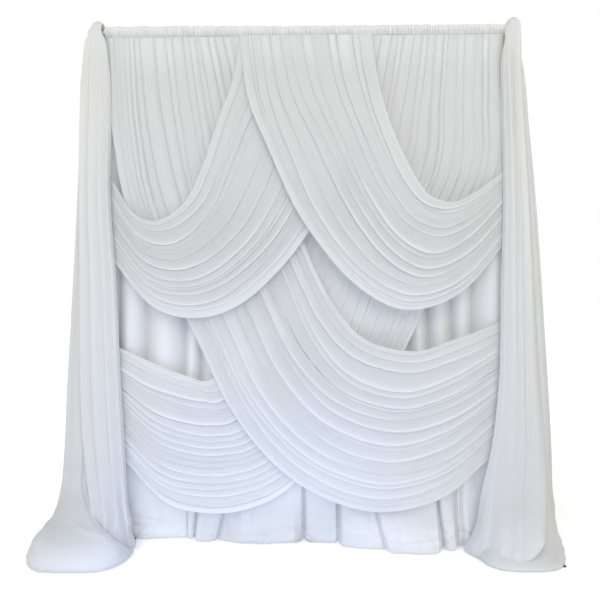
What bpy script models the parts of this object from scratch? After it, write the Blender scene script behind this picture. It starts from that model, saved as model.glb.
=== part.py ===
"""Sheer backdrop drape on its stand.

A round bar between two posts carries a gathered casing. Under the casing hang an opaque backing panel and
four sheer swags, two drawn across to each post. A long sheer scarf lies over the top of each post, hangs in
front of it and behind it, and pools on the floor over the base plate.

Metres, +Z up. The origin is on the floor midway between the posts, and -Y is the side that faces the room.
"""

from collections import namedtuple
from math import copysign, cos, hypot, pi, radians, sin

import bmesh
import bpy
from mathutils import Matrix, Vector

# Stand
POST_SPACING = 2.40
POST_RADIUS = 0.025
POST_TOP = 3.042
POST_SIDES = 20
CAP_STEPS = 4
PLATE_WIDTH = 0.40
PLATE_DEPTH = 0.60
PLATE_THICKNESS = 0.006
PLATE_EDGE = 0.0015
BAR_RADIUS = 0.019
BAR_HEIGHT = 2.977
FIT = 0.0003
SHARP_ANGLE = radians(40)

# Cloth
SHEER = 0.002
CASING_WALL = 0.0016
CASING_LENGTH = 2.32
CASING_FLUTES = 18
CLOTH_TOP = 2.9417
SWAG_ROWS = 18
SEGMENTS_PER_FOLD = 4
SEAM_WELD = 0.00005
FLARE_DROP = 0.6
KNOB_CURVE = 4.0
SKIRT_POWER = 0.7

# The casing's cross-section, half of it: distance from the bar's middle plane, height from the bar's centre
# and how far a gather stands out there. The other half mirrors it, and the two meet in the seam under the bar.
SectionPoint = namedtuple("SectionPoint", "side height gather")
CASING_SECTION = [
    SectionPoint(0.0000, 0.0201, 0.0012),
    SectionPoint(0.0155, 0.0190, 0.0020),
    SectionPoint(0.0215, 0.0040, 0.0030),
    SectionPoint(0.0170, -0.0160, 0.0030),
    SectionPoint(0.0095, -0.0340, 0.0000),
]

Fold = namedtuple("Fold", "width depth")

# A swag's stations run from the casing to the post. Each gives the ends of a line across the gathered sheet,
# from its upper edge to its lower edge, how far in front of the casing's seam the line lies, and the share of
# the folds' depth there.
Station = namedtuple("Station", "upper_x upper_z lower_x lower_z forward relief")
Swag = namedtuple("Swag", "name seam stations folds")

SWAGS = [
    Swag("swag_lower_left", 0.0, [
        Station(0.390, CLOTH_TOP, 1.140, CLOTH_TOP, 0.035, 1.0),
        Station(0.310, 2.570, 1.040, 2.535, 0.035, 1.0),
        Station(0.205, 2.195, 0.970, 2.135, 0.035, 1.0),
        Station(0.045, 1.745, 0.775, 1.590, 0.035, 1.0),
        Station(-0.110, 1.450, 0.565, 1.125, 0.035, 1.0),
        Station(-0.310, 1.180, 0.260, 0.705, 0.038, 1.0),
        Station(-0.530, 0.965, -0.080, 0.350, 0.048, 1.0),
        Station(-0.655, 0.978, -0.320, 0.225, 0.052, 1.0),
        Station(-0.795, 1.025, -0.565, 0.200, 0.055, 1.0),
        Station(-0.925, 1.080, -0.805, 0.262, 0.052, 0.8),
        Station(-1.060, 1.140, -1.030, 0.490, 0.045, 0.5),
        Station(-1.200, 1.200, -1.200, 0.660, 0.0268, 0.15),
    ], [
        Fold(1.2, 0.020), Fold(0.8, 0.014), Fold(1.1, 0.018), Fold(0.9, 0.021),
        Fold(1.2, 0.016), Fold(0.8, 0.020), Fold(1.0, 0.014),
    ]),
    Swag("swag_lower_right", 0.0, [
        Station(-0.375, CLOTH_TOP, -1.150, CLOTH_TOP, 0.070, 1.0),
        Station(-0.280, 2.595, -1.015, 2.340, 0.070, 1.0),
        Station(-0.165, 2.190, -0.900, 1.870, 0.070, 1.0),
        Station(-0.010, 1.765, -0.665, 1.305, 0.070, 1.0),
        Station(0.155, 1.410, -0.390, 0.755, 0.075, 1.0),
        Station(0.340, 1.200, -0.050, 0.395, 0.095, 1.0),
        Station(0.610, 1.130, 0.370, 0.235, 0.115, 1.0),
        Station(0.845, 1.195, 0.760, 0.300, 0.100, 0.9),
        Station(1.080, 1.280, 1.030, 0.500, 0.050, 0.4),
        Station(1.200, 1.340, 1.200, 0.660, 0.0268, 0.15),
    ], [
        Fold(1.0, 0.018), Fold(1.2, 0.021), Fold(0.8, 0.014), Fold(1.1, 0.020),
        Fold(0.9, 0.016), Fold(1.2, 0.021), Fold(0.9, 0.015),
    ]),
    Swag("swag_upper_left", 0.003, [
        Station(-0.375, CLOTH_TOP, 0.390, CLOTH_TOP, 0.110, 1.0),
        Station(-0.400, 2.700, 0.320, 2.500, 0.110, 1.0),
        Station(-0.475, 2.465, 0.220, 2.180, 0.110, 1.0),
        Station(-0.565, 2.195, 0.080, 1.895, 0.110, 1.0),
        Station(-0.650, 2.005, -0.105, 1.630, 0.112, 1.0),
        Station(-0.760, 1.895, -0.355, 1.400, 0.118, 1.0),
        Station(-0.865, 1.865, -0.605, 1.320, 0.120, 1.0),
        Station(-0.980, 1.925, -0.860, 1.385, 0.105, 0.8),
        Station(-1.115, 2.120, -1.095, 1.640, 0.045, 0.4),
        Station(-1.200, 2.180, -1.200, 1.760, 0.0268, 0.15),
    ], [
        Fold(1.1, 0.020), Fold(0.9, 0.015), Fold(1.2, 0.021),
        Fold(0.8, 0.014), Fold(1.1, 0.019), Fold(0.9, 0.017),
    ]),
    Swag("swag_upper_right", 0.006, [
        Station(0.390, CLOTH_TOP, -0.375, CLOTH_TOP, 0.150, 1.0),
        Station(0.415, 2.670, -0.310, 2.550, 0.150, 1.0),
        Station(0.470, 2.435, -0.200, 2.275, 0.150, 1.0),
        Station(0.565, 2.205, -0.020, 1.890, 0.150, 1.0),
        Station(0.675, 2.020, 0.240, 1.550, 0.155, 1.0),
        Station(0.775, 1.965, 0.500, 1.380, 0.158, 1.0),
        Station(0.865, 1.970, 0.725, 1.390, 0.150, 1.0),
        Station(0.985, 2.040, 0.930, 1.505, 0.105, 0.8),
        Station(1.130, 2.150, 1.120, 1.720, 0.045, 0.4),
        Station(1.200, 2.200, 1.200, 1.820, 0.0268, 0.15),
    ], [
        Fold(0.9, 0.018), Fold(1.2, 0.022), Fold(0.9, 0.015),
        Fold(1.1, 0.022), Fold(0.8, 0.014), Fold(1.1, 0.020),
    ]),
]

# The backing panel's folds from left to right: how wide each is, how deep, and where its hem stands.
PanelFold = namedtuple("PanelFold", "width depth hem_y")
PANEL_FOLDS = [
    PanelFold(0.18, 0.026, 0.03),
    PanelFold(0.22, 0.034, 0.07),
    PanelFold(0.20, 0.030, 0.11),
    PanelFold(0.14, 0.022, 0.05),
    PanelFold(0.22, 0.036, 0.00),
    PanelFold(0.22, 0.032, 0.02),
    PanelFold(0.16, 0.024, 0.06),
    PanelFold(0.20, 0.034, -0.06),
    PanelFold(0.20, 0.030, -0.08),
    PanelFold(0.18, 0.034, -0.15),
    PanelFold(0.18, 0.028, -0.05),
    PanelFold(0.23, 0.026, 0.01),
]

# The panel from the seam to the floor: how far behind the seam it hangs, the share of the folds' depth, the
# share of the way out to the hem, and how far it puffs forward where it tucks under.
PanelHeight = namedtuple("PanelHeight", "z back relief lean puff")
PANEL_HEIGHTS = [
    PanelHeight(CLOTH_TOP, 0.0032, 0.0, 0.0, 0.000),
    PanelHeight(2.750, 0.006, 0.3, 0.0, 0.000),
    PanelHeight(2.400, 0.008, 0.6, 0.0, 0.000),
    PanelHeight(1.950, 0.010, 0.8, 0.0, 0.000),
    PanelHeight(1.450, 0.010, 0.9, 0.0, 0.000),
    PanelHeight(0.950, 0.010, 1.0, 0.0, 0.000),
    PanelHeight(0.500, 0.010, 1.0, 0.05, 0.000),
    PanelHeight(0.260, 0.010, 1.0, 0.30, 0.008),
    PanelHeight(0.110, 0.010, 1.0, 0.95, 0.030),
    PanelHeight(0.009, 0.010, 0.8, 1.00, 0.005),
]

# A scarf's tails by height. Distances are from the post's axis: inner and outer along the bar, towards and
# away from the drape, and front and back across it. The front tail bows forward between its edges. The back
# tail goes round the post over its outer side, from a start angle to an end angle in degrees from straight
# behind.
FrontRow = namedtuple("FrontRow", "z inner inner_front outer outer_front bow relief")
BackRow = namedtuple("BackRow", "z inward outward back front start end relief")
Scarf = namedtuple("Scarf", "name side front back folds")

SCARVES = [
    Scarf("scarf_left", -1, [
        FrontRow(0.009, -0.170, 0.220, 0.000, 0.290, 0.010, 0.6),
        FrontRow(0.090, -0.200, 0.215, -0.020, 0.265, 0.015, 0.8),
        FrontRow(0.200, -0.210, 0.175, -0.020, 0.200, 0.020, 1.0),
        FrontRow(0.380, -0.198, 0.130, 0.030, 0.130, 0.020, 1.0),
        FrontRow(0.620, -0.174, 0.108, 0.068, 0.100, 0.015, 1.0),
        FrontRow(1.000, -0.150, 0.100, 0.090, 0.088, 0.012, 1.0),
        FrontRow(1.500, -0.126, 0.095, 0.092, 0.080, 0.012, 1.0),
        FrontRow(2.050, -0.100, 0.088, 0.098, 0.070, 0.012, 1.0),
        FrontRow(2.500, -0.086, 0.072, 0.092, 0.055, 0.010, 0.8),
        FrontRow(2.800, -0.062, 0.060, 0.078, 0.048, 0.006, 0.5),
    ], [
        BackRow(2.800, 0.060, 0.096, 0.056, 0.020, -25, 95, 0.5),
        BackRow(2.400, 0.070, 0.118, 0.070, 0.025, -25, 95, 0.8),
        BackRow(1.900, 0.080, 0.136, 0.080, 0.030, -25, 96, 1.0),
        BackRow(1.400, 0.090, 0.165, 0.090, 0.035, -25, 98, 1.0),
        BackRow(0.900, 0.100, 0.188, 0.105, 0.045, -25, 104, 1.0),
        BackRow(0.540, 0.110, 0.204, 0.130, 0.070, -28, 130, 1.0),
        BackRow(0.320, 0.130, 0.222, 0.175, 0.130, -35, 165, 1.0),
        BackRow(0.190, 0.170, 0.255, 0.260, 0.270, -45, 200, 1.0),
        BackRow(0.120, 0.205, 0.300, 0.360, 0.390, -55, 225, 0.9),
        BackRow(0.055, 0.232, 0.326, 0.425, 0.445, -65, 240, 0.7),
        BackRow(0.001, 0.240, 0.328, 0.440, 0.456, -70, 248, 0.4),
    ], [Fold(1.0, 0.013), Fold(0.8, 0.009), Fold(1.3, 0.014), Fold(0.9, 0.010)]),
    Scarf("scarf_right", 1, [
        FrontRow(0.001, -0.270, 0.230, 0.080, 0.405, 0.115, 0.4),
        FrontRow(0.060, -0.265, 0.220, 0.085, 0.380, 0.105, 0.7),
        FrontRow(0.170, -0.240, 0.160, 0.115, 0.265, 0.050, 0.9),
        FrontRow(0.320, -0.212, 0.125, 0.145, 0.170, 0.020, 1.0),
        FrontRow(0.560, -0.150, 0.108, 0.146, 0.115, 0.015, 1.0),
        FrontRow(0.900, -0.106, 0.098, 0.124, 0.092, 0.012, 1.0),
        FrontRow(1.500, -0.088, 0.090, 0.100, 0.080, 0.012, 1.0),
        FrontRow(2.050, -0.070, 0.082, 0.074, 0.070, 0.010, 1.0),
        FrontRow(2.500, -0.074, 0.068, 0.040, 0.058, 0.008, 0.8),
        FrontRow(2.800, -0.078, 0.058, 0.020, 0.050, 0.006, 0.5),
    ], [
        BackRow(2.800, 0.055, 0.050, 0.056, 0.020, -25, 95, 0.5),
        BackRow(2.400, 0.065, 0.090, 0.070, 0.025, -25, 95, 0.8),
        BackRow(1.900, 0.075, 0.138, 0.080, 0.030, -25, 96, 1.0),
        BackRow(1.400, 0.085, 0.168, 0.090, 0.035, -25, 98, 1.0),
        BackRow(0.900, 0.095, 0.204, 0.105, 0.045, -25, 102, 1.0),
        BackRow(0.540, 0.105, 0.220, 0.130, 0.070, -28, 125, 1.0),
        BackRow(0.320, 0.120, 0.228, 0.175, 0.110, -35, 150, 1.0),
        BackRow(0.190, 0.150, 0.245, 0.250, 0.200, -45, 160, 1.0),
        BackRow(0.120, 0.190, 0.270, 0.340, 0.270, -55, 164, 0.9),
        BackRow(0.055, 0.225, 0.292, 0.425, 0.335, -65, 166, 0.7),
        BackRow(0.001, 0.240, 0.300, 0.440, 0.366, -70, 168, 0.4),
    ], [Fold(0.9, 0.012), Fold(1.2, 0.014), Fold(0.8, 0.009), Fold(1.1, 0.013)]),
]

# The scarf over the post's rounded top: distance in front of the post's axis and height.
KnobRow = namedtuple("KnobRow", "front z")
KNOB_ROWS = [
    KnobRow(0.047, 2.995),
    KnobRow(0.034, 3.028),
    KnobRow(0.017, 3.041),
    KnobRow(0.000, 3.0437),
]
KNOB_EDGES = {-1: (-0.042, 0.055), 1: (-0.062, 0.036)}

SHEER_LOOK = ("sheer cloth", (0.80, 0.82, 0.86), 0.75, 0.0)
SATIN_LOOK = ("backing satin", (0.76, 0.78, 0.80), 0.55, 0.0)
ALUMINIUM_LOOK = ("brushed aluminium", (0.60, 0.61, 0.62), 0.35, 1.0)
STEEL_LOOK = ("painted steel plate", (0.05, 0.05, 0.055), 0.5, 0.0)


def clear_scene():
    for thing in list(bpy.data.objects):
        bpy.data.objects.remove(thing, do_unlink=True)


def make_material(look):
    name, colour, roughness, metallic = look
    material = bpy.data.materials.get(name) or bpy.data.materials.new(name)
    material.use_nodes = True
    shader = material.node_tree.nodes["Principled BSDF"]
    shader.inputs["Base Color"].default_value = (*colour, 1.0)
    shader.inputs["Roughness"].default_value = roughness
    shader.inputs["Metallic"].default_value = metallic
    return material


def add_object(name, mesh_builder, look, collection):
    """An object whose mesh comes from a bmesh, which is freed here."""
    mesh = bpy.data.meshes.new(name)
    mesh_builder.to_mesh(mesh)
    mesh_builder.free()
    mesh.materials.append(make_material(look))
    thing = bpy.data.objects.new(name, mesh)
    collection.objects.link(thing)
    return thing


def thicken(thing, thickness):
    shell = thing.modifiers.new("cloth thickness", "SOLIDIFY")
    shell.thickness = thickness
    shell.offset = 0.0
    thing.data.shade_smooth()


def add_sheet(name, surface, columns, rows, thickness, look, collection, closed=False):
    """A sheet of cloth: a grid moved by a function of two shares, given its thickness."""
    grid = bmesh.new()
    bmesh.ops.create_grid(grid, x_segments=columns, y_segments=rows, size=0.5)
    for vert in grid.verts:
        vert.co = surface(vert.co.x + 0.5, vert.co.y + 0.5)
    if closed:
        bmesh.ops.remove_doubles(grid, verts=grid.verts, dist=SEAM_WELD)
    thing = add_object(name, grid, look, collection)
    thicken(thing, thickness)
    return thing


def row_at(rows, share):
    """A table's row at a share of its length, on a Catmull-Rom curve through the rows."""
    place = share * (len(rows) - 1)
    first = min(int(place), len(rows) - 2)
    t = place - first
    near = [rows[min(max(k, 0), len(rows) - 1)] for k in range(first - 1, first + 3)]
    values = [
        b + 0.5 * t * (c - a + t * (2 * a - 5 * b + 4 * c - d + t * (3 * (b - c) + d - a)))
        for a, b, c, d in zip(*near)
    ]
    return type(rows[0])(*values)


def fold_at(folds, share):
    """Where the cloth lies across its width and how far its fold stands out there.

    The folds take equal steps of share, so each has the same number of grid columns however wide it is.
    """
    place = share * len(folds)
    index = min(int(place), len(folds) - 1)
    t = place - index
    before = sum(fold.width for fold in folds[:index])
    whole = sum(fold.width for fold in folds)
    across = (before + folds[index].width * t) / whole
    return across, folds[index].depth * (1 - cos(2 * pi * t)) / 2


def ease_out(value):
    return sin(pi / 2 * min(max(value, 0.0), 1.0))


def swag_surface(swag):
    def surface(across_share, along_share):
        station = row_at(swag.stations, along_share)
        across, depth = fold_at(swag.folds, across_share)
        x = station.upper_x + (station.lower_x - station.upper_x) * across
        z = station.upper_z + (station.lower_z - station.upper_z) * across
        flare = ease_out((CLOTH_TOP - z) / FLARE_DROP)
        return Vector((x, -swag.seam - flare * (station.forward + station.relief * depth), z))
    return surface


def add_swags(collection):
    for swag in SWAGS:
        columns = SEGMENTS_PER_FOLD * len(swag.folds)
        add_sheet(swag.name, swag_surface(swag), columns, SWAG_ROWS, SHEER, SHEER_LOOK, collection)


def hem_at(across):
    """The hem's place on the floor, straight between the middles of the folds."""
    middles, edge = [], 0.0
    for fold in PANEL_FOLDS:
        middles.append(edge + fold.width / 2)
        edge += fold.width
    place = across * edge
    if place <= middles[0]:
        return PANEL_FOLDS[0].hem_y
    for left, right, fold, following in zip(middles, middles[1:], PANEL_FOLDS, PANEL_FOLDS[1:]):
        if place <= right:
            return fold.hem_y + (following.hem_y - fold.hem_y) * (place - left) / (right - left)
    return PANEL_FOLDS[-1].hem_y


def add_backing(collection):
    def surface(across_share, down_share):
        level = PANEL_HEIGHTS[round(down_share * (len(PANEL_HEIGHTS) - 1))]
        across, depth = fold_at(PANEL_FOLDS, across_share)
        y = level.back + level.relief * depth + level.lean * hem_at(across) - level.puff
        return Vector(((across - 0.5) * CASING_LENGTH, y, level.z))

    columns = SEGMENTS_PER_FOLD * len(PANEL_FOLDS)
    rows = len(PANEL_HEIGHTS) - 1
    add_sheet("backing_panel", surface, columns, rows, SHEER, SATIN_LOOK, collection)


def add_heading(collection):
    """The gathered casing: its section carried along the bar, every other step standing out as a gather."""
    ring = CASING_SECTION + [point._replace(side=-point.side) for point in reversed(CASING_SECTION[1:])]
    columns = 2 * CASING_FLUTES

    def surface(along_share, round_share):
        point = ring[round(round_share * len(ring)) % len(ring)]
        gather = point.gather * (round(along_share * columns) % 2)
        stretch = 1 + gather / hypot(point.side, point.height)
        x = (along_share - 0.5) * CASING_LENGTH
        return Vector((x, -point.side * stretch, BAR_HEIGHT + point.height * stretch))

    add_sheet("heading", surface, columns, len(ring), CASING_WALL, SHEER_LOOK, collection, closed=True)


def front_point(row, across):
    out = row.inner + (row.outer - row.inner) * across
    front = row.inner_front + (row.outer_front - row.inner_front) * across
    return out, front + row.bow * 4 * across * (1 - across)


def back_point(row, across):
    angle = radians(row.start + (row.end - row.start) * across)
    side, behind = sin(angle), cos(angle)
    reach_out = row.outward if side > 0 else row.inward
    reach_back = row.back if behind > 0 else row.front
    out = reach_out * copysign(abs(side) ** SKIRT_POWER, side)
    return out, -reach_back * copysign(abs(behind) ** SKIRT_POWER, behind)


def folded_point(section, row, across, depth):
    """A point of a tail's plan section, moved along the section's normal by its fold's depth.

    A depth above 0 moves it forwards, and one below 0 backwards.
    """
    step = 0.01
    out, front = section(row, across)
    out_before, front_before = section(row, max(across - step, 0.0))
    out_after, front_after = section(row, min(across + step, 1.0))
    run_out, run_front = out_after - out_before, front_after - front_before
    scale = row.relief * depth / hypot(run_out, run_front)
    return out - run_front * scale, front + run_out * scale


def scarf_surface(scarf):
    knob = KNOB_ROWS + [row._replace(front=-row.front) for row in reversed(KNOB_ROWS[:-1])]
    sections = len(scarf.front) + len(knob) + len(scarf.back)
    inner, outer = KNOB_EDGES[scarf.side]

    def surface(across_share, along_share):
        index = round(along_share * (sections - 1))
        across, depth = fold_at(scarf.folds, across_share)
        if index < len(scarf.front):
            row = scarf.front[index]
            out, front = folded_point(front_point, row, across, depth)
            z = row.z
        elif index < len(scarf.front) + len(knob):
            row = knob[index - len(scarf.front)]
            out, front = inner + (outer - inner) * across, row.front
            z = row.z - KNOB_CURVE * out ** 2
        else:
            row = scarf.back[index - len(scarf.front) - len(knob)]
            out, front = folded_point(back_point, row, across, -depth)
            z = row.z
        return Vector((scarf.side * (POST_SPACING / 2 + out), -front, z))

    return surface, sections - 1


def add_scarves(collection):
    for scarf in SCARVES:
        surface, rows = scarf_surface(scarf)
        columns = SEGMENTS_PER_FOLD * len(scarf.folds)
        add_sheet(scarf.name, surface, columns, rows, SHEER, SHEER_LOOK, collection)


def add_crossbar(collection):
    bar = bmesh.new()
    length = POST_SPACING - 2 * (POST_RADIUS + FIT)
    lying = Matrix.Rotation(pi / 2, 4, "Y")
    bmesh.ops.create_cone(
        bar, cap_ends=True, segments=POST_SIDES, radius1=BAR_RADIUS, radius2=BAR_RADIUS, depth=length,
        matrix=lying,
    )
    thing = add_object("crossbar", bar, ALUMINIUM_LOOK, collection)
    thing.location = (0.0, 0.0, BAR_HEIGHT)
    thing.data.shade_smooth()
    thing.data.set_sharp_from_angle(angle=SHARP_ANGLE)


def add_upright(name, x, collection):
    """A round post with a rounded top: its profile, from the top down, turned about its axis."""
    shoulder = POST_TOP - POST_RADIUS
    angles = [pi / 2 * k / CAP_STEPS for k in range(CAP_STEPS + 1)]
    profile = [(POST_RADIUS * sin(angle), shoulder + POST_RADIUS * cos(angle)) for angle in angles]
    foot = PLATE_THICKNESS + FIT
    profile += [(POST_RADIUS, foot), (0.0, foot)]
    outline = bmesh.new()
    verts = [outline.verts.new((r, 0.0, z)) for r, z in profile]
    for a, b in zip(verts, verts[1:]):
        outline.edges.new((a, b))
    thing = add_object(name, outline, ALUMINIUM_LOOK, collection)
    thing.location = (x, 0.0, 0.0)
    turned = thing.modifiers.new("turned", "SCREW")
    turned.steps = POST_SIDES
    turned.render_steps = POST_SIDES
    turned.use_merge_vertices = True
    turned.merge_threshold = 0.0001
    turned.use_smooth_shade = True


def add_base_plate(name, x, collection):
    plate = bmesh.new()
    bmesh.ops.create_cube(plate, size=1.0)
    bmesh.ops.scale(plate, vec=(PLATE_WIDTH, PLATE_DEPTH, PLATE_THICKNESS), verts=plate.verts)
    thing = add_object(name, plate, STEEL_LOOK, collection)
    thing.location = (x, 0.0, PLATE_THICKNESS / 2)
    edge = thing.modifiers.new("eased edges", "BEVEL")
    edge.width = PLATE_EDGE
    edge.segments = 1


def add_stand(collection):
    add_crossbar(collection)
    for side, word in ((-1, "left"), (1, "right")):
        x = side * POST_SPACING / 2
        add_upright(f"upright_{word}", x, collection)
        add_base_plate(f"base_plate_{word}", x, collection)


def main():
    clear_scene()
    collection = bpy.data.collections.new("sheer backdrop drape")
    bpy.context.scene.collection.children.link(collection)
    add_stand(collection)
    add_heading(collection)
    add_backing(collection)
    add_swags(collection)
    add_scarves(collection)


main()
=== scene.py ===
"""Sheer backdrop drape on its stand: the finished cloth and metal around the fixed frame.

The frame's posts, bar and base plates stay as they are and get their metal here. Each sheet of cloth stands
for its plain solid: a grid of points worked out from one share across the cloth and one share along it.

Metres, +Z up. The origin is on the floor midway between the posts, and -Y is the side that faces the room.
"""

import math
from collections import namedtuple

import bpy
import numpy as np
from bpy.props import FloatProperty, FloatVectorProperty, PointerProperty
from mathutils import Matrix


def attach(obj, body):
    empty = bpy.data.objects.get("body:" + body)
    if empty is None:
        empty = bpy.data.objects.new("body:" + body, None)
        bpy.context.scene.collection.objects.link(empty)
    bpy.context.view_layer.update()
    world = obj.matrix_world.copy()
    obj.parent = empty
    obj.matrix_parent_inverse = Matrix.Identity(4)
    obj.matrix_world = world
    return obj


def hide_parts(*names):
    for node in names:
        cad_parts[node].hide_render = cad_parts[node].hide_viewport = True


bl_info = {
    "name": "Sheer Backdrop Drape",
    "version": (1, 0, 0),
    "blender": (4, 5, 0),
    "location": "View3D > Sidebar > Drape",
    "description": "Gathered sheer backdrop with crossed swags and a scarf over each post",
    "category": "Add Mesh",
}

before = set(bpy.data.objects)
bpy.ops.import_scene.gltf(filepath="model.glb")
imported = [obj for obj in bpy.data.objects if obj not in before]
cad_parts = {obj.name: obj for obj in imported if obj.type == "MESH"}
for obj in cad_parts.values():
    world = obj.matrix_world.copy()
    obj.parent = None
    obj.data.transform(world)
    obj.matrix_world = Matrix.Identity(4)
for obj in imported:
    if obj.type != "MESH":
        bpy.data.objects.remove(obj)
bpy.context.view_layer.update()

BODY = "root"

# Places that the sheets hang from and lie on, the same as in the frame, with room for the cloth.
POST_X = 1.20
POST_WRAP = 0.0275
POST_FRONT = 0.0268
PLATE_HALF = (0.20, 0.30)
PLATE_REACH = 0.012
PLATE_EDGE = 0.010
PLATE_LIFT = 0.0065
FLOOR_LIFT = 0.0015
BAR_HEIGHT = 2.977
CLOTH_TOP = 2.9417
CASING_LENGTH = 2.32

# Points along and across each sheet
SWAG_GRID = (260, 264)
PANEL_GRID = (120, 640)
CASING_GRID = (1400, 30)
SCARF_GRID = (290, 140)

# The drop within which the swags part from one seam, and how far that seam stands out under the casing.
FLARE_DROP = 0.6
SEAM_LIP = 0.0075

# The casing's distance from the bar's axis in front, above and below, how far round its edges lap, and its
# gathers' pitch as a share of the other sheets'.
CASING_FRONT, CASING_ABOVE, CASING_BELOW = 0.0203, 0.0197, 0.0330
CASING_LAP = 0.25
CASING_PITCH = 0.62

# A swag's stations run from the casing to the post. Each gives the two ends of a line across the sheet, how
# far in front of the seam it lies and the share of the folds' depth there. The seam is how far forward the
# sheet is sewn on, the room is the depth that its folds may take, and the puff is that of its gathers. The
# border is the crest value of the last band, below zero where that band is one see-through layer. Doubled and
# lit is the crest value of the sheet's upper part and the drop at which it ends, partly for its fuller cloth
# and partly painted light where shade falls. The lit stretch lies between two drops, where painted light
# lightens the sheet that a swag in front shades. The bands are the widths of the folds from the upper edge to
# the lower one.
Swag = namedtuple("Swag", "name seed seam room puff border doubled lap flat bands stations")

SWAGS = [
    Swag("swag_lower_left", 11, 0.0, 0.024, 0.012, -2.4, (0.55, 2.6), (1.05, 1.80), (1.3, 3.6),
         (5, 8, 10, 7, 4, 10, 10, 6, 9, 8, 6, 8, 9, 9, 6, 5, 9, 7), [
        (0.39, CLOTH_TOP, 1.155, CLOTH_TOP, 0.035, 1), (0.31, 2.57, 1.148, 2.535, 0.035, 1),
        (0.205, 2.195, 1.12, 2.135, 0.035, 1), (-0.015, 1.76, 0.785, 1.59, 0.035, 1),
        (-0.11, 1.45, 0.565, 1.125, 0.035, 1), (-0.31, 1.18, 0.26, 0.705, 0.038, 1),
        (-0.53, 0.965, -0.08, 0.35, 0.048, 1), (-0.655, 0.978, -0.32, 0.225, 0.052, 1),
        (-0.795, 1.025, -0.565, 0.2, 0.055, 1), (-0.925, 1.08, -0.805, 0.262, 0.052, 0.9),
        (-1.06, 1.14, -1.03, 0.49, 0.045, 0.7), (-POST_X, 1.2, -POST_X, 0.66, POST_FRONT, 0.2),
    ]),
    Swag("swag_lower_right", 23, 0.0, 0.030, 0.012, 0.35, (0.55, 1.6), (0.0, 0.0), (1.3, 3.6),
         (4, 7, 13, 13, 6, 11, 5, 8, 9, 10, 5, 12, 17, 10, 7, 7, 4, 5, 7), [
        (-0.375, CLOTH_TOP, -1.15, CLOTH_TOP, 0.07, 1), (-0.28, 2.595, -1.092, 2.34, 0.07, 1),
        (-0.165, 2.19, -0.985, 1.87, 0.07, 1), (-0.01, 1.765, -0.665, 1.305, 0.07, 1),
        (0.155, 1.41, -0.39, 0.755, 0.075, 1), (0.34, 1.2, -0.05, 0.395, 0.095, 1),
        (0.61, 1.13, 0.37, 0.235, 0.115, 1), (0.845, 1.195, 0.76, 0.3, 0.1, 1),
        (1.08, 1.28, 1.03, 0.5, 0.05, 0.6), (POST_X, 1.34, POST_X, 0.66, POST_FRONT, 0.2),
    ]),
    Swag("swag_upper_left", 37, 0.003, 0.025, 0.002, 0.6, (0.55, 1.4), (0.0, 0.0), (1.15, 2.2),
         (5, 7, 4, 8, 6, 12, 10, 11, 8, 5, 5, 9, 8, 7), [
        (-0.375, CLOTH_TOP, 0.39, CLOTH_TOP, 0.11, 1), (-0.4, 2.7, 0.32, 2.5, 0.11, 1),
        (-0.475, 2.465, 0.22, 2.18, 0.11, 1), (-0.565, 2.195, 0.08, 1.895, 0.11, 1),
        (-0.65, 2.005, -0.105, 1.63, 0.112, 1), (-0.76, 1.895, -0.355, 1.4, 0.118, 1),
        (-0.865, 1.865, -0.605, 1.32, 0.12, 1), (-0.98, 1.925, -0.86, 1.385, 0.105, 0.9),
        (-1.115, 2.12, -1.095, 1.64, 0.045, 0.6), (-POST_X, 2.18, -POST_X, 1.76, POST_FRONT, 0.2),
    ]),
    Swag("swag_upper_right", 41, 0.006, 0.028, 0.011, 0.6, (0.55, 1.4), (0.0, 0.0), (1.15, 2.2),
         (8, 5, 13, 6, 12, 9, 11, 9, 11, 10, 7, 4, 7), [
        (0.39, CLOTH_TOP, -0.375, CLOTH_TOP, 0.15, 1), (0.415, 2.67, -0.31, 2.55, 0.15, 1),
        (0.47, 2.435, -0.2, 2.275, 0.15, 1), (0.565, 2.205, -0.02, 1.89, 0.15, 1),
        (0.675, 2.02, 0.24, 1.55, 0.155, 1), (0.775, 1.965, 0.5, 1.38, 0.158, 1),
        (0.865, 1.97, 0.725, 1.39, 0.15, 1), (0.985, 2.04, 0.93, 1.505, 0.105, 0.9),
        (1.13, 2.15, 1.12, 1.72, 0.045, 0.6), (POST_X, 2.2, POST_X, 1.82, POST_FRONT, 0.2),
    ]),
]

# Crest values of a swag at its turned edges, where it lies double, and the painted light that lightens it
# below the casing, where the casing's shade falls, and along a lit stretch, where the swag in front shades
# it.
# Below the casing a fold's height adds to it. And the drop at which the painted light below the casing ends.
LAP_LIGHT = 0.72
RIM_CREST = 0.6
HEAD_LIGHT, HEAD_FOLD_LIGHT = 0.66, 0.14
HEAD_LIGHT_DROP = 0.60
# The turned edge of a swag: how far past the sheet's edge and how far behind it.
EDGE_PAST = np.array((0.0022, 0.0030, 0.0020, -0.008, -0.024))
EDGE_BEHIND = np.array((0.0008, 0.0030, 0.0050, 0.0058, 0.0060))

# The backing panel from the seam to the floor: height, how far behind the seam it hangs, the share of the
# folds' depth, the share of the way out to the hem line and how far it puffs forward.
PANEL_TABLE = [
    (CLOTH_TOP, 0.0032, 0, 0, 0), (2.75, 0.006, 0.4, 0, 0), (2.4, 0.008, 0.7, 0, 0),
    (1.95, 0.01, 0.9, 0, 0), (1.45, 0.01, 1, 0, 0), (0.95, 0.01, 1, 0, 0),
    (0.5, 0.01, 1, 0.05, 0), (0.26, 0.01, 1, 0.35, 0.01), (0.11, 0.01, 0.9, 0.95, 0.03),
    (0.035, 0.01, 0.8, 1, 0.027), (0.008, 0.01, 0.8, 1, 0.021), (FLOOR_LIFT, 0.01, 0.8, 1, 0.01),
]
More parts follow.
